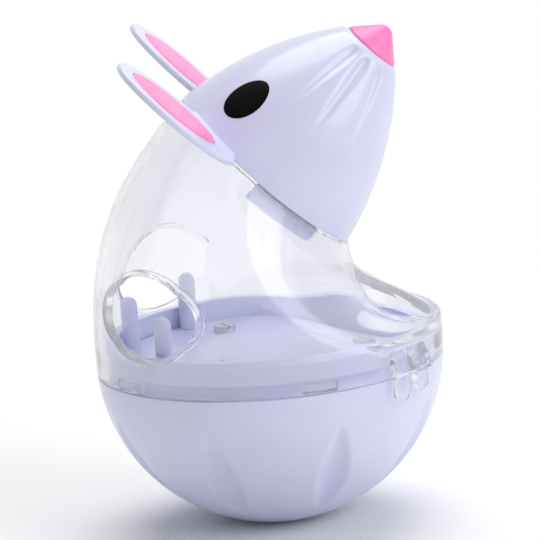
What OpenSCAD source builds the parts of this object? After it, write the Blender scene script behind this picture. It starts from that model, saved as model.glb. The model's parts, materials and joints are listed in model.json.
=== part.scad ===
// Cat treat ball: a mouse-shaped tumbler with a clear treat chamber.
// Millimetres. Z points up from the foot, and the mouse faces +X.

/* [Ball] */
// Diameter of the ball
ball_d = 80; // [70:1:95]
// Diameter of the flat foot
foot_d = 14; // [10:1:18]
// Wall of the white bowl
bowl_wall = 2.4; // [2:0.1:3]
// Number of dents round the bowl
dents = 8; // [5:1:9]

/* [Clear body] */
// Wall of the clear body
clear_wall = 2; // [1.6:0.1:2.4]
// Width of a flank outlet
outlet_w = 29; // [22:0.5:30]
// Height of a flank outlet
outlet_h = 19; // [16:0.5:20]
// Twist of the clear body on the base, in degrees
twist = 15; // [8:1:16]

/* [Head] */
// Tilt of the head axis from upright, in degrees
head_tilt = 44.8; // [42:0.1:48]
// Wall of the head
head_wall = 2; // [1.6:0.1:2.4]
// Width of an ear
ear_w = 28; // [22:1:32]
// Thickness of an ear
ear_t = 1.5; // [1.3:0.1:2]

/* [Hidden] */
$fn = 96;

// Every length that follows the size of the ball is a multiple of this unit
unit = ball_d / 80;
ball_r = ball_d / 2;
ball_z = sqrt(ball_r * ball_r - foot_d * foot_d / 4);

// Clearances
body_gap = 0.3;
flange_fit = 0.1;
stem_fit = 0.1;

// Joint between bowl and clear body: a flange over a groove on the collar
shoulder_z = 36.6 * unit;
rim_z = shoulder_z + body_gap;
skirt_top = 45.6 * unit;
skirt_r = ball_r - clear_wall - 0.3;
flange_r = skirt_r - flange_fit;
collar_r = flange_r - 1.3;
collar_wall = 2;
collar_inner = collar_r - collar_wall;
collar_top = 44.8 * unit;
flange_lead = 1;
notch_z = 42.5 * unit;
notch_half_angle = 55;

// Clear lugs snapped under the flange, and the ribs that stop the twist
lugs = 5;
lug_half_angle = 6.5;
lug_h = 2;
flange_z = 39.4 * unit;
lug_top = flange_z - body_gap;
rib_angle = 2;
rib_play = 0.6;

// Inside of the bowl
pad_z = 6 * unit;
weight_r = 15.5 * unit;
weight_h = 14 * unit;
post_r = 3.5;
pilot_r = 1.1;
screw_r = 1.05;
floor_z = 38 * unit;
floor_t = 2;
floor_r = collar_inner - body_gap;
floor_screw_ring = 22 * unit;
peg_r = 1.95 * unit;
peg_stem_r = 1.4 * unit;
peg_ring = 31.8 * unit;
peg_top = 53.3 * unit;
peg_angles = [-136, 128, 176];

// Neck plane, where the head meets the clear body
neck_x = 2.4 * unit;
neck_z = 81.5 * unit;
neck_r = 24.8 * unit;

// Head: a body of revolution with one arc as its outline
head_len = 37 * unit;
head_arc_r = 75.9 * unit;
head_arc_back = 12.8 * unit;
head_arc_in = sqrt(head_arc_r * head_arc_r - head_arc_back * head_arc_back) - neck_r;
head_edge = 0.9 * unit;
nose_r = 6.55 * unit;
nose_h = 5.85 * unit;
nose_tip_r = 2.5 * unit;
nose_edge = 0.35 * unit;
stem_r = 3 * unit;
stem_h = 3.4 * unit;

// Ears, measured in the neck plane from the head axis
ear_reach = 42.9 * unit;
ear_root = 9.5 * unit;
ear_side = 28 * unit;
ear_splay = 6;
ear_mid = 24.6 * unit;
ear_root_half = 15.6 * unit;
inlay_side = ear_side + 0.4 * unit;
inlay_mid = 27.1 * unit;
inlay_half = 11.8 * unit;
inlay_w = 0.71 * ear_w;
inlay_depth = 0.6;
inlay_t = 0.8;

// Eyes, placed on the head by axial distance and angle from the top
eye_axial = 11.6 * unit;
eye_angle = 45.6;
eye_len = 11.7 * unit;
eye_w = 8.5 * unit;
eye_depth = 1.1;
eye_proud = 0.3;

// A point on a Bezier curve through the given control points
function bezier(p, t) =
    len(p) == 1 ? p[0]
    : bezier([for (i = [0 : len(p) - 2]) p[i] * (1 - t) + p[i + 1] * t], t);

// Radius of the head outline at an axial distance, moved out by a given amount
function head_radius(axial, out = 0) =
    sqrt(pow(head_arc_r + out, 2) - pow(axial + head_arc_back, 2)) - head_arc_in;

// Places its children in the frame of the neck plane, local Z along the head
module at_neck() {
    translate([neck_x, 0, neck_z]) rotate([0, head_tilt, 0]) children();
}

// A ring sector between two radii, from one angle to another
module ring_sector(inner, outer, low, high, from, to) {
    rotate([0, 0, from])
        rotate_extrude(angle = to - from)
            translate([inner, low])
                square([outer - inner, high - low]);
}

// A pointed spindle along local Z
module spindle(length, half) {
    arc = (length * length / 4 + half * half) / (2 * half);
    rotate_extrude()
        intersection() {
            translate([half - arc, 0]) circle(r = arc);
            translate([0, -length]) square([half, 2 * length]);
        }
}

// Base bowl
module bowl_outline() {
    difference() {
        union() {
            intersection() {
                translate([0, ball_z]) circle(r = ball_r);
                square([ball_r + 1, shoulder_z]);
            }
            translate([collar_inner, shoulder_z - 2])
                square([collar_wall, collar_top - shoulder_z + 2]);
            polygon([[collar_inner, flange_z], [flange_r, flange_z],
                     [flange_r, collar_top - flange_lead], [flange_r - flange_lead, collar_top],
                     [collar_inner, collar_top]]);
        }
        intersection() {
            translate([0, ball_z]) circle(r = ball_r - bowl_wall);
            translate([0, pad_z]) square([collar_inner, collar_top]);
        }
        translate([0, ball_z]) square([collar_inner, collar_top]);
    }
}

module bowl_dents() {
    dent_drop = 33;
    dent_r = 8 * unit;
    dent_deep = 1.4 * unit;
    dent_out = ball_r + dent_r - dent_deep;
    for (i = [0 : dents - 1])
        rotate([0, 0, -66 + 360 / dents * i])
            translate([dent_out * cos(dent_drop), 0, ball_z - dent_out * sin(dent_drop)])
                rotate([0, dent_drop, 0])
                    spindle(120 * unit, dent_r);
}

module twist_ribs() {
    for (from = [lug_half_angle + rib_play, -lug_half_angle - twist - rib_play - rib_angle])
        ring_sector(collar_r - 0.5, flange_r - 0.2, shoulder_z - 0.5, flange_z + 0.5,
                    from, from + rib_angle);
}

module floor_posts() {
    for (i = [0 : 2])
        rotate([0, 0, 120 * i])
            translate([floor_screw_ring, 0, 0])
                difference() {
                    cylinder(r = post_r, h = floor_z);
                    translate([0, 0, floor_z - 9]) cylinder(r = pilot_r, h = 10);
                }
}

module weight_post() {
    translate([0, 0, pad_z - 1])
        difference() {
            cylinder(r = post_r, h = weight_h + 0.5);
            translate([0, 0, weight_h - 9]) cylinder(r = pilot_r, h = 10);
        }
}

module base_bowl() {
    color("white")
        difference() {
            union() {
                difference() {
                    rotate_extrude() bowl_outline();
                    bowl_dents();
                }
                twist_ribs();
                intersection() {
                    floor_posts();
                    translate([0, 0, ball_z]) sphere(r = ball_r - 1);
                }
                weight_post();
            }
            ring_sector(collar_inner - 1, ball_r, notch_z, collar_top + 1,
                        -notch_half_angle, notch_half_angle);
        }
}

// Ballast
module ballast_weight() {
    color("dimgray")
        translate([0, 0, pad_z])
            difference() {
                cylinder(r = weight_r, h = weight_h);
                translate([0, 0, -1]) cylinder(r = post_r + stem_fit, h = weight_h + 2);
            }
}

// A screw with its head on z = 0 and its shank down
module screw(head_r, head_h) {
    difference() {
        union() {
            cylinder(r = head_r, h = head_h);
            translate([0, 0, -8]) cylinder(r = screw_r, h = 8.5);
        }
        translate([-head_r, -0.4, head_h - 0.6]) cube([2 * head_r, 0.8, 1]);
    }
}

module ballast_screw() {
    color("silver")
        translate([0, 0, pad_z + weight_h]) screw(5.2, 2);
}

// Floor of the treat chamber
module treat_floor() {
    color("white")
        difference() {
            translate([0, 0, floor_z]) cylinder(r = floor_r, h = floor_t);
            for (i = [0 : 2])
                rotate([0, 0, 120 * i])
                    translate([floor_screw_ring, 0, floor_z - 1])
                        cylinder(r = screw_r + 0.2, h = floor_t + 2);
            for (angle = peg_angles)
                rotate([0, 0, angle])
                    translate([peg_ring, 0, floor_z - 1])
                        cylinder(r = peg_stem_r + stem_fit, h = floor_t + 2);
        }
}

// Round pegs that stand on the floor, each with a stem pressed into it
module floor_pegs() {
    straight = peg_top - peg_r - floor_z - floor_t;
    color("white")
        for (angle = peg_angles)
            rotate([0, 0, angle])
                translate([peg_ring, 0, floor_z + floor_t]) {
                    translate([0, 0, -floor_t]) cylinder(r = peg_stem_r, h = floor_t + 0.5);
                    cylinder(r = peg_r, h = straight);
                    translate([0, 0, straight]) sphere(r = peg_r);
                }
}

module floor_screws() {
    color("silver")
        for (i = [0 : 2])
            rotate([0, 0, 120 * i])
                translate([floor_screw_ring, 0, floor_z + floor_t]) screw(2.6, 1.4);
}

// Clear body: a loft from the round rim to the tilted neck
rows = 18;
around = 60;
loft_foot = 44 * unit;
loft_rim_r = ball_r - 0.12;
loft_neck_r = neck_r;
neck_sink = 0.25;
neck_mid = [neck_x - neck_sink * sin(head_tilt), neck_z - neck_sink * cos(head_tilt)];
neck_span = loft_neck_r * [cos(head_tilt), -sin(head_tilt)];
front_curve = [[loft_rim_r, loft_foot],
               [37.5, 47.5] * unit,
               [25, 47.3] * unit,
               [19.6, 54] * unit,
               neck_mid + neck_span];
back_curve = [[-loft_rim_r, loft_foot],
              [-loft_rim_r, loft_foot + 28 * unit],
              neck_mid - neck_span - 18 * unit * [sin(head_tilt), cos(head_tilt)],
              neck_mid - neck_span];

function loft_width(t) = loft_neck_r + (loft_rim_r - loft_neck_r) * (1 - pow(t, 2.2));

function loft_point(t, a) =
    let (b = bezier(back_curve, t), f = bezier(front_curve, t), mid = (b + f) / 2, half = (f - b) / 2)
    [mid[0] + half[0] * cos(a), loft_width(t) * sin(a), mid[1] + half[1] * cos(a)];

function loft_normal(t, a) =
    let (step = 0.004, low = max(t - step, 0), high = min(t + step, 1),
         along = loft_point(high, a) - loft_point(low, a),
         across = loft_point(t, a + 0.5) - loft_point(t, a - 0.5),
         n = cross(across, along))
    n / norm(n);

function loft_inner(t, a) = loft_point(t, a) - clear_wall * loft_normal(t, a);

module clear_loft() {
    ring_points = [for (r = [0 : rows]) for (k = [0 : around - 1]) [r / rows, 360 * k / around]];
    outer = [for (q = ring_points) loft_point(q[0], q[1])];
    inner = [for (q = ring_points) loft_inner(q[0], q[1])];
    skin = (rows + 1) * around;
    function at(r, k) = r * around + k % around;
    outer_faces = [for (r = [0 : rows - 1]) for (k = [0 : around - 1])
        each [[at(r, k), at(r + 1, k), at(r + 1, k + 1)], [at(r, k), at(r + 1, k + 1), at(r, k + 1)]]];
    inner_faces = [for (f = outer_faces) [f[2] + skin, f[1] + skin, f[0] + skin]];
    foot_faces = [for (k = [0 : around - 1])
        each [[at(0, k), at(0, k + 1), at(0, k + 1) + skin], [at(0, k), at(0, k + 1) + skin, at(0, k) + skin]]];
    neck_faces = [for (k = [0 : around - 1])
        each [[at(rows, k + 1), at(rows, k), at(rows, k) + skin],
              [at(rows, k + 1), at(rows, k) + skin, at(rows, k + 1) + skin]]];
    polyhedron(concat(outer, inner), concat(outer_faces, inner_faces, foot_faces, neck_faces));
}

// A four-lobed cutter along local Z, with its short side along local X
module outlet(short, long, length) {
    lobe = 0.4;
    translate([0, 0, -length / 2])
        linear_extrude(length)
            scale([short / 2, long / 2])
                for (i = [0 : 3])
                    rotate([0, 0, 90 * i])
                        translate([lobe / 2, 0])
                            circle(r = 1 - lobe / 2);
}

module outlets() {
    for (side = [-1, 1])
        rotate([0, 0, 133.5 * side])
            translate([36 * unit, 0, 54.4 * unit])
                rotate([0, 90, 0])
                    outlet(outlet_h * unit, outlet_w * unit, 18 * unit);
    translate([29.1, 0, 50.5] * unit)
        rotate([0, 33, 0])
            outlet(19.2 * unit, 29 * unit, 14 * unit);
}

// Thumb tab: a ledge on the skirt, gussets over it and tongues under it
ledge_z = 37.2 * unit;
ledge_t = 1.1;
ledge_half_angle = 9.5;
ledge_out = ball_r + 2.2;

module tab_gusset(from, to) {
    foot_z = ledge_z + ledge_t / 2;
    height = 43.4 * unit - foot_z;
    deep = 2.35;
    arc = (height * height + deep * deep) / (2 * deep);
    rotate([0, 0, from])
        rotate_extrude(angle = to - from)
            intersection() {
                translate([ball_r - 0.3 + deep - arc, foot_z]) circle(r = arc);
                translate([ball_r - 0.3, foot_z]) square([deep + 1, height]);
            }
}

module tab_tongue(mid, low) {
    tip_r = 2.45 * unit;
    rotate([0, 0, mid])
        intersection() {
            ring_sector(ball_r + body_gap, ball_r + 1.9, low - 1, ledge_z + ledge_t / 2, -6, 6);
            translate([ball_r - 3, 0, low + tip_r])
                rotate([0, 90, 0])
                    linear_extrude(8) {
                        circle(r = tip_r);
                        translate([-9 * unit, -tip_r]) square([9 * unit, 2 * tip_r]);
                    }
        }
}

module thumb_tab() {
    rotate([0, 0, -37]) {
        ring_sector(ball_r - 0.4, ledge_out, ledge_z, ledge_z + ledge_t,
                    -ledge_half_angle, ledge_half_angle);
        tab_gusset(-9.2, -3);
        tab_gusset(-1.2, 3.2);
        tab_gusset(5, 9.2);
        tab_tongue(-6.2, 31.5 * unit);
        tab_tongue(3.4, 32.6 * unit);
    }
}

module clear_shell() {
    color([0.85, 0.9, 0.95, 0.35]) {
        difference() {
            clear_loft();
            outlets();
        }
        ring_sector(skirt_r, ball_r, rim_z, skirt_top, 0, 360);
        for (i = [0 : lugs - 1])
            rotate([0, 0, 360 / lugs * i])
                ring_sector(collar_r + body_gap, skirt_r + 0.5, lug_top - lug_h, lug_top,
                            -lug_half_angle, lug_half_angle);
        thumb_tab();
        at_neck() ring_sector(neck_r - clear_wall + 0.3, neck_r - 0.5, -2, 0, 0, 360);
    }
}

// Head
module head_outline(out, top) {
    intersection() {
        translate([-head_arc_in, -head_arc_back]) circle(r = head_arc_r + out, $fn = 480);
        square([neck_r + 2, top]);
    }
}

// Slope that rounds the end of the head down to the nose
module nose_shoulder() {
    inner = nose_r + 0.1;
    slope = head_edge / (head_radius(head_len - head_edge) - inner);
    reach = 3 * unit;
    polygon([[inner, head_len], [inner + reach, head_len - slope * reach], [inner + reach, head_len + 1],
             [inner, head_len + 1]]);
}

module whisker_flutes() {
    flute_r = 2 * unit;
    flute_deep = 0.85 * unit;
    low = [head_radius(20 * unit), 20 * unit];
    high = [head_radius(35.5 * unit), 35.5 * unit];
    mid_axial = 27.9 * unit;
    chord = high - low;
    lean = atan2(chord[0], chord[1]);
    out = [cos(lean), -sin(lean)] * (flute_r - flute_deep);
    mid = [head_radius(mid_axial), mid_axial] + out;
    for (side = [-1, 1])
        for (angle = [69, 90, 116])
            rotate([0, 0, 180 + side * angle])
                translate([mid[0], 0, mid[1]])
                    rotate([0, lean, 0])
                        spindle(21 * unit, flute_r);
}

module head_tongues() {
    for (side = [-1, 1])
        rotate([0, 0, 180 + side * 111]) {
            ring_sector(neck_r - 4, neck_r - 2.3, -4.9 * unit, 2, -25, 25);
            ring_sector(neck_r - 4, neck_r - 1.2, 0, 3, -25, 25);
        }
}

module head_shell() {
    color("white")
        at_neck()
            difference() {
                union() {
                    difference() {
                        rotate_extrude()
                            difference() {
                                head_outline(0, head_len);
                                head_outline(-head_wall, head_len - 4 * unit);
                                nose_shoulder();
                            }
                        translate([0, 0, head_len - stem_h - stem_fit])
                            cylinder(r = stem_r + stem_fit, h = stem_h + 1);
                        whisker_flutes();
                    }
                    head_tongues();
                }
                ear_slot();
                mirror([0, 1, 0]) ear_slot();
                eye_prism();
                mirror([0, 1, 0]) eye_prism();
            }
}

// Half outline of the nose: a cone with a round tip
module nose_outline() {
    tip_z = nose_h - nose_tip_r;
    span = norm([nose_r, tip_z - nose_edge]);
    turn = atan2(tip_z - nose_edge, -nose_r) - asin(nose_tip_r / span);
    along = sqrt(span * span - nose_tip_r * nose_tip_r);
    touch = [nose_r, nose_edge] + along * [cos(turn), sin(turn)];
    polygon([[0, 0], [nose_r, 0], [nose_r, nose_edge], touch, [0, touch[1]]]);
    intersection() {
        translate([0, tip_z]) circle(r = nose_tip_r);
        translate([0, tip_z]) square(nose_tip_r + 1);
    }
}

module nose_cap() {
    color("hotpink")
        at_neck()
            translate([0, 0, head_len]) {
                rotate_extrude() nose_outline();
                translate([0, 0, -stem_h]) cylinder(r = stem_r, h = stem_h + 0.5);
            }
}

// Half of an ellipse on the +X side, by its half length and full width
module half_ellipse(half, width) {
    scale([half / width * 2, 1])
        intersection() {
            circle(d = width);
            translate([0, -width]) square([width, 2 * width]);
        }
}

// Ears lie in the neck plane; local -X is up the back of the head
module ear_petal(side, mid, tip_half, root_half, width) {
    rotate([0, 0, 180])
        translate([mid, side])
            rotate([0, 0, ear_splay]) {
                half_ellipse(tip_half, width);
                mirror([1, 0, 0]) half_ellipse(root_half, width);
            }
}

module ear_outline() {
    difference() {
        union() {
            intersection() {
                ear_petal(ear_side, ear_mid, ear_reach - ear_mid, ear_root_half, ear_w * unit);
                translate([-2 * ear_reach - ear_root, -2 * ear_reach]) square([2 * ear_reach, 4 * ear_reach]);
            }
            intersection() {
                circle(r = neck_r + 0.7);
                polygon([[0, 0], [-50, -29] * unit, [-50, -80] * unit, [-34, -80] * unit]);
            }
        }
        circle(r = neck_r - head_wall - 0.9);
    }
}

module ear_slot() {
    translate([0, 0, -1]) linear_extrude(ear_t + 1) ear_outline();
}

module ear_blank() {
    difference() {
        linear_extrude(ear_t) ear_outline();
        translate([0, 0, ear_t - inlay_depth])
            linear_extrude(ear_t)
                ear_petal(inlay_side, inlay_mid, inlay_half, inlay_half, inlay_w * unit);
    }
}

module ear_face() {
    translate([0, 0, ear_t - inlay_depth])
        linear_extrude(inlay_t)
            ear_petal(inlay_side, inlay_mid, inlay_half, inlay_half, inlay_w * unit);
}

module ear_right() {
    color("white") at_neck() ear_blank();
}

module ear_left() {
    color("white") at_neck() mirror([0, 1, 0]) ear_blank();
}

module ear_inlay_right() {
    color("hotpink") at_neck() ear_face();
}

module ear_inlay_left() {
    color("hotpink") at_neck() mirror([0, 1, 0]) ear_face();
}

// Eyes follow the outline of the head
module eye_prism() {
    lean = atan2(eye_axial + head_arc_back, head_radius(eye_axial) + head_arc_in);
    rotate([0, 0, 180 + eye_angle])
        translate([head_radius(eye_axial), 0, eye_axial])
            rotate([0, 90 - lean, 0])
                translate([0, 0, -eye_depth])
                    linear_extrude(eye_depth + 3)
                        scale([1, eye_w / eye_len])
                            circle(d = eye_len);
}

module eye_body() {
    intersection() {
        eye_prism();
        rotate_extrude($fn = 240) head_outline(eye_proud, head_len);
    }
}

module eye_right() {
    color("black") at_neck() eye_body();
}

module eye_left() {
    color("black") at_neck() mirror([0, 1, 0]) eye_body();
}

base_bowl();
ballast_weight();
ballast_screw();
treat_floor();
floor_screws();
floor_pegs();
clear_shell();
head_shell();
nose_cap();
ear_right();
ear_left();
ear_inlay_right();
ear_inlay_left();
eye_right();
eye_left();
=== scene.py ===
# Looks of a cat treat ball: a white tumbler bowl, a clear body and a mouse head.
import json
import math

import bmesh
import bpy
import numpy as np
from mathutils import Matrix, Vector
from mathutils.bvhtree import BVHTree

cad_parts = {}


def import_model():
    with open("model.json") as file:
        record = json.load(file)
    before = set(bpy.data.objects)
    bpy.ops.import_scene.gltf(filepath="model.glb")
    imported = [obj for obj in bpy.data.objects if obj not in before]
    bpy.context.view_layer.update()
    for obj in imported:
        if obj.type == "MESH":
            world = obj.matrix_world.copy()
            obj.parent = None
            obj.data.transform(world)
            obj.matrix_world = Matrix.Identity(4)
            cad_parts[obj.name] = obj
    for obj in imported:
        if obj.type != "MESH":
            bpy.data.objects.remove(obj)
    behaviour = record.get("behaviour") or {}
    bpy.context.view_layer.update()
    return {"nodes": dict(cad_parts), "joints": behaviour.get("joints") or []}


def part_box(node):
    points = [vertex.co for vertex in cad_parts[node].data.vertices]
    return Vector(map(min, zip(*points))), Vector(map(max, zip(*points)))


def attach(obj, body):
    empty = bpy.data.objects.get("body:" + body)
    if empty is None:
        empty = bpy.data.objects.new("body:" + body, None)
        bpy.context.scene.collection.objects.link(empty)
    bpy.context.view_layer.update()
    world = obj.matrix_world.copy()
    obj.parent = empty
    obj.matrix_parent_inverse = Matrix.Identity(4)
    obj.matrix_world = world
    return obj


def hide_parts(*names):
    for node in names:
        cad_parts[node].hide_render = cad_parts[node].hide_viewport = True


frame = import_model()

# Driving sizes in millimetres for a ball 80 mm across; SCALE turns them into metres
shell_low, shell_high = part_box("clear_shell")
SCALE = (shell_high.y - shell_low.y) / 80

# Ball, bowl and collar
BALL_R = 40.0
FOOT_R = 7.0
BALL_Z = math.sqrt(BALL_R**2 - FOOT_R**2)
BOWL_WALL = 2.4
CLEAR_WALL = 2.0
BODY_GAP = 0.3
SHOULDER_Z = 36.6
RIM_Z = SHOULDER_Z + BODY_GAP
SKIRT_R = BALL_R - CLEAR_WALL - BODY_GAP
FLANGE_R = SKIRT_R - 0.1
FLANGE_Z = 39.4
COLLAR_R = FLANGE_R - 1.3
COLLAR_INNER = COLLAR_R - 2.0
COLLAR_TOP = 44.8
FLANGE_LEAD = 1.0
NOTCH_Z = 42.5
NOTCH_HALF = 50.0
FLOOR_Z = 38.0
FLOOR_T = 2.0
PAD_Z = 6.0
DENTS = 8
DENT_TURN = 66.0

# Clear body, its lugs, which are spread evenly, and its outlets
SKIRT_TOP = 45.6
LUGS = 5
LUG_HALF = 6.5
LUG_H = 2.0
TWIST = frame["joints"][0]["range_deg"][1]
OUTLET_LONG = 29.0
LIP_W = 1.5
LEDGE_Z = 37.2

# Head and nose, drawn up from the neck
NECK = np.array([2.4, 0.0, 81.5])
NECK_R = 24.8
HEAD_TILT = math.radians(44.8)
HEAD_LEN = 37.0
HEAD_END = HEAD_LEN - 0.1
HEAD_ARC_R = 75.9
HEAD_ARC_BACK = 12.8
HEAD_ARC_IN = math.sqrt(HEAD_ARC_R**2 - HEAD_ARC_BACK**2) - NECK_R
HEAD_WALL = 2.0
HEAD_EDGE = 0.9
FLUTE_LOW = 16.0
FLUTE_HIGH = 35.8
FLUTE_DEEP = 0.95
NOSE_R = 6.55
NOSE_H = 5.85
NOSE_TIP_R = 2.5

# Ears
EAR_T = 1.5
EAR_ROOT = 9.5
EAR_SPLAY = math.radians(6)
# Each ellipse: its middle up the back and sideways, its half to the tip and to the root, its width
EAR = (24.6, 28.0, 18.3, 15.6, 28.0)
INLAY = (27.1, 28.4, 11.8, 11.8, 19.9)
INLAY_DEEP = 0.6


# Mesh helpers
def grid_faces(rows, columns, close_rows, close_columns):
    """Quads of a grid of points, closed round on itself where asked."""
    last_row = rows if close_rows else rows - 1
    last_column = columns if close_columns else columns - 1
    r, c = np.meshgrid(np.arange(last_row), np.arange(last_column), indexing="ij")
    r2, c2 = (r + 1) % rows, (c + 1) % columns
    corners = [r * columns + c, r2 * columns + c, r2 * columns + c2, r * columns + c2]
    return np.stack(corners, axis=-1).reshape(-1, 4)


def new_object(name, points, faces):
    """A smooth mesh object from points in millimetres, welded and with its normals out."""
    mesh = bpy.data.meshes.new(name)
    mesh.from_pydata((np.asarray(points).reshape(-1, 3) * SCALE).tolist(), [], np.asarray(faces).tolist())
    work = bmesh.new()
    work.from_mesh(mesh)
    bmesh.ops.remove_doubles(work, verts=work.verts, dist=1e-7)
    bmesh.ops.recalc_face_normals(work, faces=work.faces)
    work.to_mesh(mesh)
    work.free()
    piece = bpy.data.objects.new(name, mesh)
    bpy.context.scene.collection.objects.link(piece)
    return piece


def grid_object(name, points, close_rows=True, close_columns=True):
    """A mesh object from an array of points with two grid directions."""
    rows, columns = points.shape[:2]
    return new_object(name, points, grid_faces(rows, columns, close_rows, close_columns))


def shade(piece, angle=35):
    """Smooth shading with sharp edges only where faces meet at more than the angle."""
    piece.data.shade_smooth()
    piece.data.set_sharp_from_angle(angle=math.radians(angle))


def boolean(target, tool, operation):
    """Applies an exact boolean of the tool to the target, and removes the tool."""
    step = target.modifiers.new(operation.lower(), "BOOLEAN")
    step.operation = operation
    step.solver = "EXACT"
    step.object = tool
    bpy.context.view_layer.update()
    done = target.evaluated_get(bpy.context.evaluated_depsgraph_get())
    mesh = bpy.data.meshes.new_from_object(done)
    target.modifiers.clear()
    target.data = mesh
    bpy.data.objects.remove(tool)


def joined(name, parts):
    """One object from several, each kept as its own closed shell."""
    work = bmesh.new()
    for part in parts:
        work.from_mesh(part.data)
    mesh = bpy.data.meshes.new(name)
    work.to_mesh(mesh)
    work.free()
    for part in parts:
        bpy.data.objects.remove(part)
    piece = bpy.data.objects.new(name, mesh)
    bpy.context.scene.collection.objects.link(piece)
    return piece


def fused(parts):
    """One solid from several that overlap."""
    for part in parts[1:]:
        boolean(parts[0], part, "UNION")
    return parts[0]


def place(piece, body, slot, material, *nodes):
    """Puts a finished piece on its body, in place of the nodes it stands for."""
    shade(piece)
    piece.data.materials.clear()
    piece.data.materials.append(material)
    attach(piece, body)
    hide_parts(*nodes)


# Outlines and turned forms
def smooth_step(x):
    x = np.clip(x, 0, 1)
    return x * x * (3 - 2 * x)


def rounded(loop, radius, spacing, bend_step=12):
    """A closed outline with softened corners, its points closer together where it bends."""
    count = 8192
    closed = np.vstack([loop, loop[:1]])
    along = np.concatenate([[0], np.cumsum(np.linalg.norm(np.diff(closed, axis=0), axis=1))])
    even = np.linspace(0, along[-1], count, endpoint=False)
    dense = np.column_stack([np.interp(even, along, closed[:, k]) for k in range(2)])
    frequency = np.fft.fftfreq(count, along[-1] / count)
    weight = np.exp(-2 * (np.pi * frequency * radius) ** 2)
    soft = np.fft.ifft(np.fft.fft(dense, axis=0) * weight[:, None], axis=0).real
    step = np.roll(soft, -1, axis=0) - soft
    length = np.linalg.norm(step, axis=1)
    heading = np.unwrap(np.arctan2(step[:, 1], step[:, 0]))
    bend = np.degrees(np.abs(np.diff(heading, append=heading[-1])))
    measure = np.cumsum(length / spacing + bend / bend_step)
    picks = np.searchsorted(measure, np.arange(0, measure[-1], measure[-1] / round(measure[-1])))
    return soft[np.unique(picks)]


def half_outline(path, radius, spacing):
    """Softened outline of a turned solid whose path starts and ends on the axis."""
    path = np.asarray(path, float)
    mirrored = path[::-1] * [-1, 1]
    loop = rounded(np.vstack([path, mirrored[1:-1]]), radius, spacing)
    start = np.argmin(np.linalg.norm(loop - path[0], axis=1))
    loop = np.roll(loop, -start, axis=0)
    right = loop[loop[:, 0] > 1e-3]
    ends = np.array([[0, right[0][1]], [0, right[-1][1]]])
    return np.vstack([ends[:1], right, ends[1:]])


def turned(outline, steps):
    """Points of an outline turned about Z, with the angles of its columns in degrees."""
    angles = np.arange(steps) * 360 / steps
    a = np.radians(angles)[:, None]
    r, z = outline[:, 0][None], outline[:, 1][None]
    points = np.stack([r * np.cos(a), r * np.sin(a), z + 0 * a], axis=-1)
    return points, angles


def wrapped(angle):
    """An angle in degrees brought between -180 and 180."""
    return (np.asarray(angle) + 180) % 360 - 180


def arc(centre, radius, start, end, count=90):
    a = np.radians(np.linspace(start, end, count))
    return np.column_stack([centre[0] + radius * np.cos(a), centre[1] + radius * np.sin(a)])


def ring_block(name, inner, outer, low, high, start, end, soft, layers=0):
    """A block with soft edges, bent round the Z axis between two angles."""
    work = bmesh.new()
    bmesh.ops.create_cube(work, size=1)
    reach = math.radians(end - start) * outer
    size = Vector((outer - inner, reach, high - low))
    bmesh.ops.scale(work, vec=size, verts=work.verts)
    bmesh.ops.bevel(work, geom=work.edges, offset=soft, segments=4, profile=0.5, affect="EDGES")
    long_edges = [e for e in work.edges if abs(e.verts[0].co.y - e.verts[1].co.y) > reach / 2]
    bmesh.ops.subdivide_edges(work, edges=long_edges, cuts=max(int(end - start), 1))
    if layers:
        tall = [e for e in work.edges if abs(e.verts[0].co.z - e.verts[1].co.z) > (high - low) / 2]
        bmesh.ops.subdivide_edges(work, edges=tall, cuts=layers)
    middle = math.radians(start + end) / 2
    for vert in work.verts:
        radius = vert.co.x + (inner + outer) / 2
        angle = middle + vert.co.y / outer
        height = vert.co.z + (low + high) / 2
        vert.co = Vector((radius * math.cos(angle), radius * math.sin(angle), height)) * SCALE
    mesh = bpy.data.meshes.new(name)
    work.to_mesh(mesh)
    work.free()
    piece = bpy.data.objects.new(name, mesh)
    bpy.context.scene.collection.objects.link(piece)
    return piece


def neck_matrix():
    """The neck frame, local Z along the head and local -X up the back of the head."""
    return Matrix.Translation(Vector(NECK * SCALE)) @ Matrix.Rotation(HEAD_TILT, 4, "Y")


def to_neck(piece, mirror=False):
    """Moves a piece that was drawn in the neck frame to its place."""
    matrix = neck_matrix()
    if mirror:
        matrix = matrix @ Matrix.Scale(-1, 4, (0, 1, 0))
    piece.data.transform(matrix)
    if mirror:
        piece.data.flip_normals()


# Bowl
def bowl_path():
    """Half outline of the bowl: ball, shoulder, collar with its flange, and inside."""
    shoulder = math.degrees(math.asin((SHOULDER_Z - BALL_Z) / BALL_R))
    foot = -math.degrees(math.acos(FOOT_R / BALL_R))
    inside_r = BALL_R - BOWL_WALL
    inside_top = -math.degrees(math.acos(COLLAR_INNER / inside_r))
    inside_foot = math.degrees(math.asin((PAD_Z - BALL_Z) / inside_r))
    return np.vstack([
        [[0, 0]],
        arc((0, BALL_Z), BALL_R, foot, shoulder, 200),
        [[COLLAR_R, SHOULDER_Z], [COLLAR_R, FLANGE_Z], [FLANGE_R, FLANGE_Z]],
        [[FLANGE_R, COLLAR_TOP - FLANGE_LEAD], [FLANGE_R - FLANGE_LEAD, COLLAR_TOP]],
        [[COLLAR_INNER, COLLAR_TOP]],
        arc((0, BALL_Z), inside_r, inside_top, inside_foot, 120),
        [[0, PAD_Z]],
    ])


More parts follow.
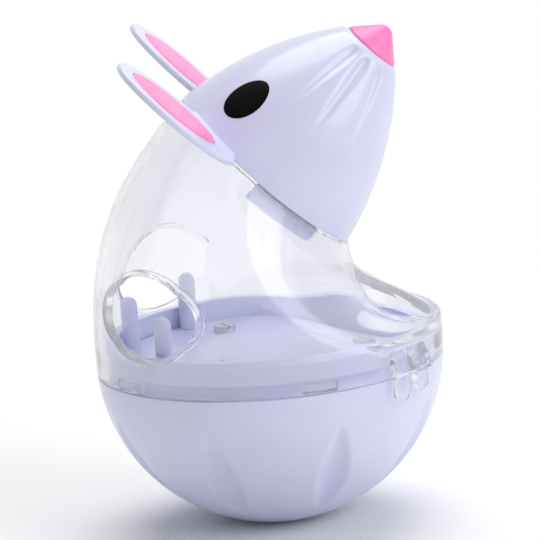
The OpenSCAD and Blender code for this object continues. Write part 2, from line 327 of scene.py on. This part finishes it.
def dent_depth(points):
    """Depth of the leaf-shaped dents at points on the ball."""
    top, bottom, deepest, half_width = 14.5, 58.0, 1.7, 4.0
    drop = np.degrees(np.arcsin(np.clip((BALL_Z - points[..., 2]) / BALL_R, -1, 1)))
    angle = np.degrees(np.arctan2(points[..., 1], points[..., 0]))
    spread = 360 / DENTS
    offset = (angle + DENT_TURN + spread / 2) % spread - spread / 2
    sideways = np.radians(offset) * BALL_R * np.cos(np.radians(drop))
    along = np.clip((drop - top) / (bottom - top), 0, 1)
    width = half_width * np.sin(np.pi * along) ** 0.8 + 1e-6
    across = np.clip(1 - (sideways / width) ** 2, 0, 1) ** 1.15
    return deepest * np.sin(np.pi * along) * across


def base_bowl():
    """The turned bowl with its dents, a lower front to the collar, and two ribs that stop the twist."""
    outline = half_outline(bowl_path(), 0.16, 0.85)
    points, angles = turned(outline, 420)
    distance = np.linalg.norm(points - [0, 0, BALL_Z], axis=-1)
    on_ball = (distance > BALL_R - 0.3) & (points[..., 2] < SHOULDER_Z - 1)
    inward = ([0, 0, BALL_Z] - points) / distance[..., None]
    points = points + inward * (dent_depth(points) * on_ball)[..., None]
    ramp = smooth_step((NOTCH_HALF + 4 - np.abs(wrapped(angles))) / 8)[:, None]
    above = smooth_step((points[..., 2] - FLANGE_Z - 0.3) / (COLLAR_TOP - FLANGE_Z - 0.3))
    points[..., 2] -= ramp * above * (COLLAR_TOP - NOTCH_Z)
    piece = grid_object("bowl_body", points, close_columns=False)
    ribs = []
    for start in (LUG_HALF + 0.6, -LUG_HALF - TWIST - 2.6):
        ribs.append(ring_block("rib", COLLAR_R - 0.5, FLANGE_R - 0.2, SHOULDER_Z - 0.4, FLANGE_Z + 0.4,
                               start, start + 2, 0.15))
    boolean(piece, joined("ribs", ribs), "UNION")
    return piece


def floor_pegs():
    """Three round pegs on stems in the floor."""
    radius, stem_r, ring, top = 1.95, 1.4, 31.8, 53.3
    foot = FLOOR_Z + FLOOR_T
    path = np.vstack([
        [[0, FLOOR_Z], [stem_r, FLOOR_Z], [stem_r, foot], [radius, foot]],
        arc((0, top - radius), radius, 0, 90, 40),
    ])
    outline = half_outline(path, 0.06, 0.6)
    pegs = []
    for angle in (-136, 128, 176):
        points, _ = turned(outline, 48)
        a = math.radians(angle)
        points = points + [ring * math.cos(a), ring * math.sin(a), 0]
        pegs.append(grid_object("peg", points, close_columns=False))
    return joined("floor_peg_set", pegs)


# Clear body
def bezier(control, t):
    """Points on a Bezier curve at each t."""
    points = [np.outer(1 + 0 * t, p) for p in control]
    while len(points) > 1:
        points = [a * (1 - t)[:, None] + b * t[:, None] for a, b in zip(points, points[1:])]
    return points[0]


def loft_curves(t):
    """Front and back lines of the clear body in the XZ plane."""
    rim_r, foot_z, sink = BALL_R, 44.0, 0.1
    tilt = np.array([math.sin(HEAD_TILT), math.cos(HEAD_TILT)])
    middle = np.array([NECK[0], NECK[2]]) - sink * tilt
    span = NECK_R * np.array([math.cos(HEAD_TILT), -math.sin(HEAD_TILT)])
    front = [[rim_r, foot_z], [37.5, 47.5], [25.0, 47.3], [19.6, 54.0], middle + span]
    back = [[-rim_r, foot_z], [-rim_r, foot_z + 28], middle - span - 18 * tilt, middle - span]
    return bezier(front, t), bezier(back, t)


def loft_skin(t, around):
    """Outer skin of the clear body as points by row and column."""
    front, back = loft_curves(t)
    a = np.radians(np.arange(around) * 360 / around)
    middle, half = (front + back) / 2, (front - back) / 2
    width = NECK_R + (BALL_R - NECK_R) * (1 - t**2.2)
    x = middle[:, :1] + half[:, :1] * np.cos(a)
    z = middle[:, 1:] + half[:, 1:] * np.cos(a)
    return np.stack([x, width[:, None] * np.sin(a), z], axis=-1)


def skin_normals(skin):
    """Directions out of the skin at its points."""
    along = np.gradient(skin, axis=0)
    across = np.roll(skin, -1, axis=1) - np.roll(skin, 1, axis=1)
    normal = np.cross(across, along)
    return normal / np.linalg.norm(normal, axis=-1, keepdims=True)


def straight(start, end, count):
    """Rows of points from one ring to another, without the two ends."""
    s = np.linspace(0, 1, count + 2)[1:-1, None, None]
    return start[None] * (1 - s) + end[None] * s


def over_ledge(skin):
    """The skin above the top of the skirt, with as many rows as before."""
    rows = np.arange(len(skin), dtype=float)
    cut = np.empty_like(skin)
    for k in range(skin.shape[1]):
        start = np.interp(SKIRT_TOP, skin[:80, k, 2], rows[:80])
        at = start + (rows[-1] - start) * rows / rows[-1]
        for axis in range(3):
            cut[:, k, axis] = np.interp(at, rows, skin[:, k, axis])
    return cut


def clear_section(around=240):
    """The closed wall of the clear body: rows run down outside, round the rim and up inside."""
    fine = 420
    skin = loft_skin(np.linspace(0, 1, fine), around)
    inner = skin - CLEAR_WALL * skin_normals(skin)
    outer = over_ledge(skin)
    a = np.radians(np.arange(around) * 360 / around)
    circle = np.stack([np.cos(a), np.sin(a), 0 * a], axis=-1)
    rim = np.array([0, 0, RIM_Z])
    outer_rim, inner_rim = BALL_R * circle + rim, SKIRT_R * circle + rim
    ledge_edge = BALL_R * circle + [0, 0, SKIRT_TOP]
    ledge, skirt, edge, neck = 12, 60, 20, 16
    loop = np.concatenate([
        outer[::-1], straight(outer[0], ledge_edge, ledge), ledge_edge[None],
        straight(ledge_edge, outer_rim, skirt), outer_rim[None],
        straight(outer_rim, inner_rim, edge), inner_rim[None],
        straight(inner_rim, inner[0], skirt), inner, straight(inner[-1], outer[-1], neck),
    ])
    reach = np.arange(-12, 13)
    weight = np.exp(-0.5 * (reach / 3.0) ** 2)
    soft = sum(w * np.roll(loop, int(k), axis=0) for k, w in zip(reach, weight)) / weight.sum()
    corner_at = np.cumsum([0, fine - 1, ledge + 1, skirt + 1, edge + 1, skirt + 1, fine - 1])
    rows = np.arange(len(loop))
    gap = np.min(np.abs(rows[:, None] - corner_at[None]), axis=1)
    keep = (gap < 10) & (rows % 3 == 0) | (rows % 9 == 0)
    return soft[keep]


def outlet_outline(short, long, grow=0.0, count=144):
    """A four-lobed outline as points, and their directions out from its middle."""
    lobe, big = 0.2, 0.8
    a = np.arange(count) * 2 * np.pi / count
    off = (a + np.pi / 4) % (np.pi / 2) - np.pi / 4
    radius = lobe * np.cos(off) + np.sqrt(big**2 - (lobe * np.sin(off)) ** 2)
    points = np.stack([radius * np.cos(a) * short / 2, radius * np.sin(a) * long / 2], axis=-1)
    tangent = np.roll(points, -1, axis=0) - np.roll(points, 1, axis=0)
    out = np.stack([tangent[:, 1], -tangent[:, 0]], axis=-1)
    out /= np.linalg.norm(out, axis=-1, keepdims=True)
    return points + grow * out, out


def outlet_frames():
    """Places of the three outlets: origin, short side, long side, axis out, and both widths."""
    flank_turn, flank_z, flank_short = 133.5, 54.4, 19.0
    front, front_lean, front_short = np.array([29.1, 0, 50.5]), math.radians(33), 19.2
    frames = []
    for side in (-1, 1):
        a = math.radians(flank_turn * side)
        out = np.array([math.cos(a), math.sin(a), 0])
        down = np.array([0, 0, -1.0])
        origin = 36 * out + [0, 0, flank_z]
        frames.append((origin, down, np.cross(out, down), out, flank_short, OUTLET_LONG))
    out = np.array([math.sin(front_lean), 0, math.cos(front_lean)])
    short = np.array([math.cos(front_lean), 0, -math.sin(front_lean)])
    frames.append((front, short, np.cross(out, short), out, front_short, OUTLET_LONG))
    return frames


def outlet_cutter(place_at):
    """A prism that cuts the wall under the middle of the lip."""
    origin, short, long, out, short_size, long_size = place_at
    flat, _ = outlet_outline(short_size, long_size, LIP_W / 2)
    ring = origin + flat[:, :1] * short + flat[:, 1:] * long
    middle = origin[None] + 0 * ring
    layers = [middle - 9 * out, ring - 9 * out, ring + 9 * out, middle + 9 * out]
    return grid_object("cutter", np.stack(layers), close_rows=False)


def outlet_lip(place_at, tree):
    """The rounded lip round an outlet, on the middle of the wall."""
    origin, short, long, out, short_size, long_size = place_at
    flat, flat_out = outlet_outline(short_size, long_size, LIP_W / 2)
    ring = origin + flat[:, :1] * short + flat[:, 1:] * long
    sideways = flat_out[:, :1] * short + flat_out[:, 1:] * long
    heights = []
    for point in ring:
        start = Vector((point + 14 * out) * SCALE)
        hit, _, _, depth = tree.ray_cast(start, Vector(-out))
        _, _, _, more = tree.ray_cast(hit - Vector(out) * 1e-5, Vector(-out))
        heights.append([14 - depth / SCALE, 14 - (depth + more) / SCALE])
    heights = np.array(heights)
    soft = np.array([0.25, 0.5, 0.25])
    for _ in range(6):
        heights = sum(w * np.roll(heights, k, axis=0) for k, w in zip((-1, 0, 1), soft))
    middle = heights.mean(axis=1)
    half = (heights[:, 0] - heights[:, 1]) / 2 + 0.2
    a = np.arange(24) * 2 * np.pi / 24
    power = 0.75
    across = np.sign(np.cos(a)) * np.abs(np.cos(a)) ** power * LIP_W / 2
    up = np.sign(np.sin(a)) * np.abs(np.sin(a)) ** power
    section = across[None, :, None] * sideways[:, None]
    rise = middle[:, None] + half[:, None] * up[None]
    points = ring[:, None] + section + rise[..., None] * out
    return grid_object("lip", points)


def tab_gusset(start, end):
    """A block on the ledge of the tab, its outer face curved back to the skirt at the top."""
    low, high, deep = LEDGE_Z + 0.5, 43.4, 2.05
    reach = deep + 0.6
    curve = (reach**2 + (high - low) ** 2) / (2 * reach)
    piece = ring_block("gusset", BALL_R - 0.6, BALL_R + deep, low, high, start, end, 0.4, 12)
    for vert in piece.data.vertices:
        radius = math.hypot(vert.co.x, vert.co.y)
        rise = vert.co.z / SCALE - low
        back = curve - math.sqrt(curve**2 - rise**2)
        share = (radius / SCALE - BALL_R + 0.6) / reach
        factor = 1 - back * share * SCALE / radius
        vert.co.x *= factor
        vert.co.y *= factor
    return piece


def tab_tongue(middle, low):
    """A flat tongue under the ledge of the tab, with a round tip."""
    top, tip, face_r = LEDGE_Z + 0.5, 2.45, BALL_R + 1.1
    half = math.degrees(tip / face_r)
    piece = ring_block("tongue", BALL_R + 0.35, BALL_R + 1.9, low, top,
                       middle - half, middle + half, 0.45, 12)
    for vert in piece.data.vertices:
        angle = math.degrees(math.atan2(vert.co.y, vert.co.x))
        sideways = math.radians(wrapped(angle - middle)) * face_r
        rise = vert.co.z / SCALE - low
        bend = tip - math.sqrt(max(tip**2 - min(abs(sideways), tip) ** 2, 0))
        fade = max(1 - rise / (top - low), 0)
        vert.co.z += bend * fade * SCALE
    return piece


def thumb_tab():
    """The grip at the rim: three curved gussets on a ledge, with two tongues below."""
    middle = -37.0
    parts = [ring_block("ledge", BALL_R - 0.5, BALL_R + 2.2, LEDGE_Z, LEDGE_Z + 1.1,
                        middle - 9.5, middle + 9.5, 0.3)]
    for start, end in ((-9.2, -3.0), (-1.2, 3.2), (5.0, 9.2)):
        parts.append(tab_gusset(middle + start, middle + end))
    for offset, low in ((-6.2, 31.5), (3.4, 32.6)):
        parts.append(tab_tongue(middle + offset, low))
    return fused(parts)


def clear_shell():
    """The clear body with its lipped outlets, the lugs under the flange and the thumb tab."""
    piece = grid_object("clear_body", clear_section())
    tree = BVHTree.FromObject(piece, bpy.context.evaluated_depsgraph_get())
    places = outlet_frames()
    added = [outlet_lip(p, tree) for p in places]
    boolean(piece, joined("cutters", [outlet_cutter(p) for p in places]), "DIFFERENCE")
    lug_top = FLANGE_Z - BODY_GAP
    for i in range(LUGS):
        middle = 360 / LUGS * i
        added.append(ring_block("lug", COLLAR_R + BODY_GAP, SKIRT_R + 0.4, lug_top - LUG_H, lug_top,
                                middle - LUG_HALF, middle + LUG_HALF, 0.5))
    added.append(thumb_tab())
    boolean(piece, joined("added", added), "UNION")
    return piece


# Head
def head_radius(axial, out=0.0):
    """Radius of the head at a height over the neck, moved out by the given amount."""
    return np.sqrt((HEAD_ARC_R + out) ** 2 - (axial + HEAD_ARC_BACK) ** 2) - HEAD_ARC_IN


def head_path():
    """Half outline of the head: inside wall, outside wall and the shoulder round the nose."""
    shoulder = HEAD_LEN - HEAD_EDGE
    outside = np.linspace(0.05, shoulder, 160)
    inside = np.linspace(HEAD_LEN - 4, 0.05, 120)
    outer = np.column_stack([head_radius(outside), outside])
    inner = np.column_stack([head_radius(inside, -HEAD_WALL), inside])
    seat = [[NOSE_R + 0.12, HEAD_LEN], [NOSE_R + 0.12, HEAD_LEN - 0.5], [0, HEAD_LEN - 0.5]]
    return np.vstack([[[0, HEAD_LEN - 4]], inner, outer, seat])


def flute_depth(axial, angle):
    """Depth of the whisker flutes that fan out from the nose."""
    depth = 0
    along = np.clip((axial - FLUTE_LOW) / (FLUTE_HIGH - FLUTE_LOW), 0, 1)
    peak = 0.67
    swell = along**1.2 * (1 - along**10) / peak
    width = 0.6 + 0.6 * swell
    radius = head_radius(np.minimum(axial, HEAD_END))
    for middle in (69, 91, 117):
        for side in (-1, 1):
            sideways = np.radians(wrapped(angle - 180 - side * middle)) * radius
            depth = depth + FLUTE_DEEP * swell * np.exp(-(np.abs(sideways / width) ** 2.6))
    return depth


def head_shell():
    """The hollow head with its whisker flutes, and two tongues that reach into the neck."""
    outline = half_outline(head_path(), 0.12, 0.8)
    points, angles = turned(outline, 480)
    radius = np.hypot(points[..., 0], points[..., 1])
    axial = np.clip(points[..., 2], 0, HEAD_LEN)
    outside = radius > head_radius(np.minimum(axial, HEAD_END)) - 0.5
    cut = flute_depth(axial, angles[:, None]) * outside
    factor = 1 - cut / np.maximum(radius, 1)
    points[..., 0] *= factor
    points[..., 1] *= factor
    piece = grid_object("head_body", points, close_columns=False)
    tongues = []
    for middle in (69, 291):
        tongues.append(ring_block("tongue", NECK_R - 4, NECK_R - 2.3, -4.9, 2.5,
                                  middle - 25, middle + 25, 0.4))
    boolean(piece, joined("tongues", tongues), "UNION")
    to_neck(piece)
    return piece


def nose_cap():
    """A cone with a round tip, seated in the end of the head."""
    edge, tip_z = 0.35, NOSE_H - NOSE_TIP_R
    span = math.hypot(NOSE_R, tip_z - edge)
    flank = 90 - math.degrees(math.atan2(tip_z - edge, NOSE_R) + math.asin(NOSE_TIP_R / span))
    tip = arc((0, tip_z), NOSE_TIP_R, 90, flank, 40)
    path = np.vstack([tip, [[NOSE_R, edge], [NOSE_R, -0.45], [0, -0.45]]]) + [0, HEAD_LEN]
    points, _ = turned(half_outline(path, 0.3, 0.4), 144)
    piece = grid_object("nose_dome", points, close_columns=False)
    to_neck(piece)
    return piece


# Ears, drawn in the neck plane for the right side
def petal(mid, side, tip_half, root_half, width, inset, height, count=128):
    """An elliptical ring of an ear, moved in by the inset, at a height over the neck plane."""
    a = np.arange(count) * 2 * np.pi / count
    half = np.where(np.cos(a) > 0, tip_half, root_half)
    x, y = (half - inset) * np.cos(a), (width / 2 - inset) * np.sin(a)
    u = np.maximum(mid + x * math.cos(EAR_SPLAY) - y * math.sin(EAR_SPLAY), EAR_ROOT + inset)
    v = side + x * math.sin(EAR_SPLAY) + y * math.cos(EAR_SPLAY)
    return np.stack([-u, -v, 0 * a + height], axis=-1)


def ear_rings():
    """Rings of an ear from the middle of its back, round its edge and down into the inlay's seat."""
    soft = 0.55
    turn = np.radians(np.linspace(0, 90, 6))
    rings = [petal(*EAR, EAR[4] / 2, 0)]
    rings += [petal(*EAR, soft * (1 - math.sin(t)), soft * (1 - math.cos(t))) for t in turn]
    rings += [petal(*EAR, soft * (1 - math.cos(t)), EAR_T - soft * (1 - math.sin(t))) for t in turn]
    rings += [petal(*INLAY, -0.35, EAR_T), petal(*INLAY, -0.12, EAR_T - 0.1)]
    rings += [petal(*INLAY, -0.08, EAR_T - INLAY_DEEP), petal(*INLAY, INLAY[4] / 2, EAR_T - INLAY_DEEP)]
    return np.stack(rings)


def ear(name, mirror):
    """An ear plate with a flange let into the rim of the head, trimmed to the inside of the head."""
    piece = grid_object(name, ear_rings(), close_rows=False)
    flange = ring_block("flange", NECK_R - 3.4, NECK_R + 0.7, 0.02, EAR_T - 0.02,
                        180 + 30, 180 + 67, 0.35)
    boolean(piece, flange, "UNION")
    core_r = NECK_R - 2.9
    core, _ = turned(np.array([[0, -5], [core_r, -5], [core_r, 8], [0, 8]]), 240)
    boolean(piece, grid_object("core", core, close_columns=False), "DIFFERENCE")
    to_neck(piece, mirror)
    return piece


def ear_inlay(name, mirror):
    """The pink face of an ear, a low crown that stands in its seat."""
    seat, middle = EAR_T - INLAY_DEEP, INLAY[4] / 2
    edge = [(0.0, 0.0), (0.0, 0.45), (0.12, 0.62), (0.35, 0.72)]
    crown = edge + [(1.5, 0.8), (4.5, 0.86), (middle, 0.88)]
    rings = [petal(*INLAY, middle, seat)]
    rings += [petal(*INLAY, inset, seat + up) for inset, up in crown]
    piece = grid_object(name, np.stack(rings), close_rows=False)
    to_neck(piece, mirror)
    return piece


# Eyes
def eye(name, mirror):
    """A low dome over an ellipse on the head, with its edge sunk into the head."""
    axial, angle = 11.6, math.radians(180 + 45.6)
    half_long, half_short = 5.85, 4.25
    slope = math.atan2(axial + HEAD_ARC_BACK, head_radius(axial) + HEAD_ARC_IN)
    shares = np.concatenate([[0.0], np.linspace(0.1, 0.9, 14), [0.94, 0.97, 0.99, 1.0, 1.0]])
    crown = 0.42 * (1 - np.linspace(0, 0.9, 15) ** 2.6 * 0.45)
    lifts = np.concatenate([crown, [0.2, 0.15, 0.08, 0.0, -0.8]])
    a = np.arange(120) * 2 * np.pi / 120
    rings = []
    for share, lift in zip(shares, lifts):
        down, sideways = share * half_long * np.cos(a), share * half_short * np.sin(a)
        height = axial - down * math.cos(slope)
        base = head_radius(height) + lift
        around = angle + sideways / head_radius(axial)
        rings.append(np.stack([base * np.cos(around), base * np.sin(around), height], axis=-1))
    rings.append(np.broadcast_to(rings[-1].mean(axis=0), rings[-1].shape))
    piece = grid_object(name, np.stack(rings), close_rows=False)
    to_neck(piece, mirror)
    return piece


# Materials
def shader(name):
    material = bpy.data.materials.new(name)
    material.use_nodes = True
    nodes, links = material.node_tree.nodes, material.node_tree.links
    return material, nodes, links, nodes["Principled BSDF"]


def noise(nodes, links, size, detail=3.0):
    """A noise texture in object space, with grains of about the given size in millimetres."""
    place_at = nodes.new("ShaderNodeTexCoord")
    texture = nodes.new("ShaderNodeTexNoise")
    texture.inputs["Scale"].default_value = 1 / (size * SCALE)
    texture.inputs["Detail"].default_value = detail
    links.new(place_at.outputs["Object"], texture.inputs["Vector"])
    return texture.outputs["Fac"]


def ramp(nodes, links, source, low, high):
    """Spreads the middle of a noise over two colours."""
    spread = nodes.new("ShaderNodeValToRGB")
    spread.color_ramp.elements[0].position = 0.1
    spread.color_ramp.elements[1].position = 0.9
    spread.color_ramp.interpolation = "EASE"
    spread.color_ramp.elements[0].color = low
    spread.color_ramp.elements[1].color = high
    links.new(source, spread.inputs["Fac"])
    return spread.outputs["Color"]


def vary(nodes, links, socket, size, low, high, detail=3.0):
    """Drives a socket with noise between two colours."""
    links.new(ramp(nodes, links, noise(nodes, links, size, detail), low, high), socket)


def bump(nodes, links, source, bsdf, depth):
    """Relief of the given depth in millimetres."""
    relief = nodes.new("ShaderNodeBump")
    relief.inputs["Strength"].default_value = 1.0
    relief.inputs["Distance"].default_value = depth * SCALE
    links.new(source, relief.inputs["Height"])
    links.new(relief.outputs["Normal"], bsdf.inputs["Normal"])


def grey(value):
    return (value, value, value, 1)


def moulded(name, low, high, rough, coat, shine=0.5):
    """Moulded plastic: faint clouding and slightly uneven gloss."""
    material, nodes, links, bsdf = shader(name)
    vary(nodes, links, bsdf.inputs["Base Color"], 9, low, high)
    vary(nodes, links, bsdf.inputs["Roughness"], 12, grey(rough[0]), grey(rough[1]), 1.0)
    bsdf.inputs["Specular IOR Level"].default_value = shine
    bsdf.inputs["Coat Weight"].default_value = coat
    bsdf.inputs["Coat Roughness"].default_value = 0.1
    return material


def clear_plastic():
    material, nodes, links, bsdf = shader("clear_plastic")
    bsdf.inputs["Base Color"].default_value = (0.96, 0.96, 1.0, 1)
    bsdf.inputs["Transmission Weight"].default_value = 0.95
    bsdf.inputs["IOR"].default_value = 1.40
    bsdf.inputs["Alpha"].default_value = 0.86
    vary(nodes, links, bsdf.inputs["Roughness"], 6, grey(0.0), grey(0.035))
    bump(nodes, links, noise(nodes, links, 7, 1.0), bsdf, 0.012)
    return material


def cast_iron():
    material, nodes, links, bsdf = shader("cast_iron")
    vary(nodes, links, bsdf.inputs["Base Color"], 1.2, grey(0.035), grey(0.075))
    vary(nodes, links, bsdf.inputs["Roughness"], 0.8, grey(0.5), grey(0.75))
    bsdf.inputs["Metallic"].default_value = 0.8
    bump(nodes, links, noise(nodes, links, 0.7), bsdf, 0.08)
    return material


def zinc_steel():
    material, nodes, links, bsdf = shader("zinc_steel")
    vary(nodes, links, bsdf.inputs["Base Color"], 0.6, grey(0.42), grey(0.6))
    vary(nodes, links, bsdf.inputs["Roughness"], 0.3, grey(0.3), grey(0.42))
    bsdf.inputs["Metallic"].default_value = 1.0
    return material


# Pieces on their bodies
white = moulded("white_plastic", (0.65, 0.67, 0.89, 1), (0.69, 0.71, 0.915, 1), (0.30, 0.40), 0.38)
pink = moulded("pink_plastic", (0.93, 0.20, 0.50, 1), (1.0, 0.25, 0.57, 1), (0.34, 0.44), 0.15)
black = moulded("black_plastic", grey(0.002), grey(0.004), (0.4, 0.5), 0.0, 0.03)
clear = clear_plastic()

place(base_bowl(), "base", "white_plastic", white, "base_bowl")
place(floor_pegs(), "base", "white_plastic", white, "floor_pegs")
place(clear_shell(), "upper", "clear_plastic", clear, "clear_shell")
place(head_shell(), "upper", "white_plastic", white, "head_shell")
place(nose_cap(), "upper", "pink_plastic", pink, "nose_cap")
for side, mirror in (("right", False), ("left", True)):
    place(ear("ear_plate_" + side, mirror), "upper", "white_plastic", white, "ear_" + side)
    place(ear_inlay("ear_face_" + side, mirror), "upper", "pink_plastic", pink, "ear_inlay_" + side)
    place(eye("eye_dome_" + side, mirror), "upper", "black_plastic", black, "eye_" + side)

# Nodes that keep their own shape
iron, steel = cast_iron(), zinc_steel()
kept = {"treat_floor": white, "ballast_weight": iron, "ballast_screw": steel, "floor_screws": steel}
for node, material in kept.items():
    mesh = frame["nodes"][node].data
    mesh.materials.clear()
    mesh.materials.append(material)


# Floor, light and camera
def floor():
    mesh = bpy.data.meshes.new("floor")
    reach = 6.0
    corners = [(-reach, -reach, 0), (reach, -reach, 0), (reach, reach, 0), (-reach, reach, 0)]
    mesh.from_pydata(corners, [], [(0, 1, 2, 3)])
    piece = bpy.data.objects.new("floor", mesh)
    bpy.context.scene.collection.objects.link(piece)
    material, _, _, bsdf = shader("floor_white")
    bsdf.inputs["Base Color"].default_value = (0.97, 0.97, 0.97, 1)
    bsdf.inputs["Roughness"].default_value = 0.9
    bsdf.inputs["Specular IOR Level"].default_value = 0.0
    mesh.materials.append(material)


def world(level):
    """Light of a plain level, and white where the camera, a reflection or a clear wall sees it."""
    sky = bpy.data.worlds.new("studio")
    bpy.context.scene.world = sky
    sky.use_nodes = True
    nodes, links = sky.node_tree.nodes, sky.node_tree.links
    nodes["Background"].inputs["Color"].default_value = (1, 1, 1, 1)
    path = nodes.new("ShaderNodeLightPath")
    seen = path.outputs["Is Camera Ray"]
    for name in ("Is Glossy Ray", "Is Transmission Ray"):
        larger = nodes.new("ShaderNodeMath")
        larger.operation = "MAXIMUM"
        links.new(seen, larger.inputs[0])
        links.new(path.outputs[name], larger.inputs[1])
        seen = larger.outputs["Value"]
    strength = nodes.new("ShaderNodeMath")
    strength.operation = "MULTIPLY_ADD"
    strength.inputs[1].default_value = 1 - level
    strength.inputs[2].default_value = level
    links.new(seen, strength.inputs[0])
    links.new(strength.outputs["Value"], nodes["Background"].inputs["Strength"])


def sun(name, direction, strength, spread):
    lamp = bpy.data.lights.new(name, "SUN")
    lamp.energy = strength
    lamp.angle = math.radians(spread)
    piece = bpy.data.objects.new(name, lamp)
    piece.rotation_mode = "QUATERNION"
    piece.rotation_quaternion = (-Vector(direction)).to_track_quat("-Z", "Y")
    bpy.context.scene.collection.objects.link(piece)


def camera():
    """The photograph's view: its direction, its turn, and its framing of 540 by 540 pixels."""
    azimuth, elevation, roll = (math.radians(d) for d in (2.01, 11.78, 4.44))
    distance, pixels_per_mm, frame_px = 1000.0, 4.356, 540
    target = Vector((1.50, 0.594, 57.6))
    back = Vector((math.sin(azimuth) * math.cos(elevation), -math.cos(azimuth) * math.cos(elevation),
                   math.sin(elevation)))
    right = Vector((math.cos(azimuth), math.sin(azimuth), 0))
    up = back.cross(right)
    turned_right = math.cos(roll) * right - math.sin(roll) * up
    turned_up = math.sin(roll) * right + math.cos(roll) * up
    lens = bpy.data.cameras.new("photo_view")
    lens.sensor_width = 36.0
    lens.lens = pixels_per_mm * distance / frame_px * lens.sensor_width
    lens.clip_start, lens.clip_end = 0.05, 50.0
    piece = bpy.data.objects.new("photo_view", lens)
    turn = Matrix((turned_right, turned_up, back)).transposed().to_4x4()
    piece.matrix_world = Matrix.Translation((target + back * distance) * SCALE) @ turn
    bpy.context.scene.collection.objects.link(piece)
    bpy.context.scene.camera = piece


floor()
world(0.32)
sun("side", (0.8, -0.42, 0.43), 1.12, 40)
sun("top", (0.05, 0.32, 0.94), 1.9, 50)
camera()
bpy.context.scene.view_settings.view_transform = "Standard"
